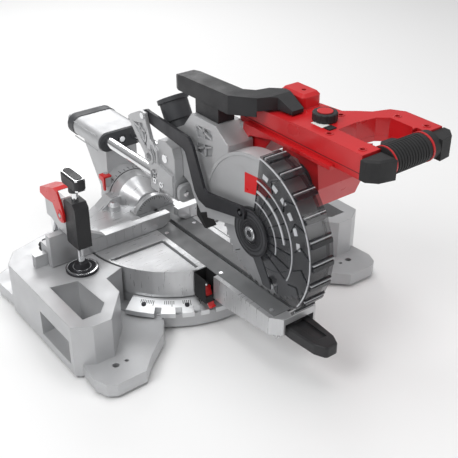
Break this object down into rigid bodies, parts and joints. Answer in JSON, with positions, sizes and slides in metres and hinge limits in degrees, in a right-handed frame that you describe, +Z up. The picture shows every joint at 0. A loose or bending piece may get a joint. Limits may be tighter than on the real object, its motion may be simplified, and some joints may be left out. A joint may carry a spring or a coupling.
{
  "type": "sliding compound mitre saw",
  "caption": "Sliding compound mitre saw: tilting, sliding saw head with guarded blade over a cast turntable base with fences, screw clamp, mitre and bevel adjustment",
  "frame": {"origin": "on the floor, under the middle of the whole saw's bounding box", "axes": "+Z up, +X to the operator's right, +Y away from the operator along the rails; the operator stands on the -Y side; all joints at rest are in the pictured pose, head down and forward"},
  "size_m": [0.482, 0.609, 0.328],
  "materials": {
    "cast_aluminium": "satin",
    "bright_steel": "polished",
    "dark_steel": "satin",
    "board_grey": "matte",
    "black_plastic": "matte",
    "grey_plastic": "matte",
    "red_plastic": "satin",
    "red_paint": "satin",
    "rubber_black": "matte",
    "smoky_clear": "clear",
    "blade_steel": "brushed",
    "scale_silver": "brushed"
  },
  "bodies": {
    "base": {"base_casting": "cast_aluminium", "rubber_feet": "rubber_black", "mitre_scale_ring": "scale_silver", "fence_fixed": "cast_aluminium", "base_screws": "bright_steel", "clamp_post": "bright_steel"},
    "fence_left": {"sliding_fence_left": "cast_aluminium"},
    "fence_right": {"sliding_fence_right": "cast_aluminium"},
    "knob_left": {"fence_knob_left": "black_plastic"},
    "knob_right": {"fence_knob_right": "black_plastic"},
    "turntable": {"turntable_casting": "cast_aluminium", "kerf_boards": "board_grey", "turntable_screws": "bright_steel", "mitre_pointer": "red_paint", "bevel_scale_plate": "cast_aluminium", "bevel_pivot_shaft": "bright_steel"},
    "front_handle": {"mitre_handle": "black_plastic"},
    "detent": {"detent_lever": "dark_steel"},
    "bevel_arm": {"bevel_arm_casting": "cast_aluminium", "rail_housing_cap": "grey_plastic", "rail_housing_plate": "grey_plastic", "rail_bushings": "grey_plastic", "bevel_pointer": "red_paint", "bevel_screws": "bright_steel"},
    "bevel_lever": {"bevel_lock_lever": "black_plastic"},
    "carriage": {"carriage_casting": "cast_aluminium", "slide_rails": "bright_steel", "rail_end_plates": "cast_aluminium", "head_hinge_pin": "bright_steel", "return_spring": "dark_steel", "carriage_screws": "bright_steel"},
    "rail_knob": {"slide_lock_knob": "black_plastic"},
    "head": {"head_casting": "cast_aluminium", "gear_housing": "cast_aluminium", "motor": "grey_plastic", "motor_housing": "red_plastic", "body_shell_upper": "red_plastic", "body_shell_lower": "red_plastic", "grip_cover": "rubber_black", "handle_bumpers": "rubber_black", "carry_handle": "black_plastic", "dust_port": "black_plastic", "dust_flap": "rubber_black", "head_screws": "dark_steel"},
    "dial": {"speed_dial": "black_plastic"},
    "light_key": {"light_button": "black_plastic"},
    "lock_key": {"lock_off_button": "black_plastic"},
    "trigger": {"trigger": "black_plastic"},
    "blade": {"saw_blade": "blade_steel", "blade_flanges": "dark_steel", "arbor_shaft": "dark_steel"},
    "guard": {"lower_guard": "smoky_clear", "guard_hub": "black_plastic"},
    "roller": {"guard_roller": "bright_steel"},
    "link": {"guard_link": "dark_steel"},
    "clamp_arm": {"clamp_arm": "cast_aluminium", "clamp_nut": "black_plastic"},
    "clamp_lever": {"clamp_lever": "red_paint"},
    "clamp_foot": {"clamp_foot": "black_plastic"},
    "clamp_screw": {"clamp_screw": "black_plastic"}
  },
  "joints": [
    {"name": "mitre_turn", "type": "hinge", "parent": "base", "child": "turntable", "pos_m": [0, 0.0615, 0.06], "axis": [0, 0, 1], "range_deg": [-41, 41]},
    {"name": "front_handle_lift", "type": "hinge", "parent": "turntable", "child": "front_handle", "pos_m": [0, -0.2005, 0.06], "axis": [1, 0, 0], "range_deg": [-12, 0]},
    {"name": "detent_press", "type": "hinge", "parent": "turntable", "child": "detent", "pos_m": [0, -0.2005, 0.048], "axis": [1, 0, 0], "range_deg": [0, 10], "stiffness_Nm_per_rad": 0.2, "springref_deg": -8.59},
    {"name": "bevel_tilt", "type": "hinge", "parent": "turntable", "child": "bevel_arm", "pos_m": [0, 0.1765, 0.08], "axis": [0, -1, 0], "range_deg": [0, 45]},
    {"name": "bevel_lever_turn", "type": "hinge", "parent": "bevel_arm", "child": "bevel_lever", "pos_m": [0, 0.2415, 0.08], "axis": [0, 1, 0], "range_deg": [0, 60]},
    {"name": "carriage_slide", "type": "slide", "parent": "bevel_arm", "child": "carriage", "axis": [0, -1, 0], "range_m": [-0.13, 0]},
    {"name": "rail_knob_turn", "type": "hinge", "parent": "bevel_arm", "child": "rail_knob", "pos_m": [0.045, 0.2375, 0.1655], "axis": [1, 0, 0], "range_deg": [0, 90]},
    {"name": "head_lift", "type": "hinge", "parent": "carriage", "child": "head", "pos_m": [0, 0.0235, 0.207], "axis": [-1, 0, 0], "range_deg": [0, 40]},
    {"name": "dial_turn", "type": "hinge", "parent": "head", "child": "dial", "pos_m": [0.056, -0.1845, 0.316], "axis": [0, 0, 1], "range_deg": [0, 270]},
    {"name": "light_press", "type": "slide", "parent": "head", "child": "light_key", "axis": [0, 0, -1], "range_m": [0, 0.001], "stiffness_N_per_m": 800, "springref_m": -0.0005},
    {"name": "lock_press", "type": "slide", "parent": "head", "child": "lock_key", "axis": [-1, 0, 0], "range_m": [0, 0.0035], "stiffness_N_per_m": 300, "springref_m": -0.001},
    {"name": "trigger_pull", "type": "slide", "parent": "head", "child": "trigger", "axis": [0, -1, 0], "range_m": [0, 0.007], "stiffness_N_per_m": 400, "springref_m": -0.002},
    {"name": "blade_spin", "type": "hinge", "parent": "head", "child": "blade", "pos_m": [0, -0.1525, 0.172], "axis": [1, 0, 0], "continuous": true},
    {"name": "guard_swing", "type": "hinge", "parent": "head", "child": "guard", "pos_m": [-0.024, -0.1525, 0.172], "axis": [1, 0, 0], "range_deg": [0, 74]},
    {"name": "roller_spin", "type": "hinge", "parent": "guard", "child": "roller", "pos_m": [-0.018, -0.1845, 0.114], "axis": [1, 0, 0], "continuous": true},
    {"name": "link_swing", "type": "hinge", "parent": "carriage", "child": "link", "pos_m": [-0.0294, 0.0695, 0.255], "axis": [-1, 0, 0], "range_deg": [0, 34]},
    {"name": "fence_left_slide", "type": "slide", "parent": "base", "child": "fence_left", "axis": [-1, 0, 0], "range_m": [0, 0.03]},
    {"name": "fence_right_slide", "type": "slide", "parent": "base", "child": "fence_right", "axis": [1, 0, 0], "range_m": [0, 0.03]},
    {"name": "knob_left_turn", "type": "hinge", "parent": "fence_left", "child": "knob_left", "pos_m": [-0.186, 0.0915, 0.092], "axis": [0, 1, 0], "continuous": true},
    {"name": "knob_right_turn", "type": "hinge", "parent": "fence_right", "child": "knob_right", "pos_m": [0.186, 0.0915, 0.092], "axis": [0, 1, 0], "continuous": true},
    {"name": "clamp_swivel", "type": "hinge", "parent": "base", "child": "clamp_arm", "pos_m": [-0.166, 0.0995, 0.15], "axis": [0, 0, 1], "range_deg": [-12, 12]},
    {"name": "clamp_release", "type": "hinge", "parent": "clamp_arm", "child": "clamp_lever", "pos_m": [-0.166, 0.0525, 0.157], "axis": [1, 0, 0], "range_deg": [0, 30]},
    {"name": "clamp_press", "type": "slide", "parent": "clamp_arm", "child": "clamp_foot", "axis": [0, 0, 1], "range_m": [0, 0.027]},
    {"name": "clamp_screw_turn", "type": "hinge", "parent": "clamp_foot", "child": "clamp_screw", "pos_m": [-0.166, 0.0315, 0.21], "axis": [0, 0, 1], "continuous": true}
  ],
  "couplings": [
    {"joint": "guard_swing", "follows": "head_lift", "ratio": 1.85},
    {"joint": "link_swing", "follows": "head_lift", "ratio": 0.85}
  ]
}
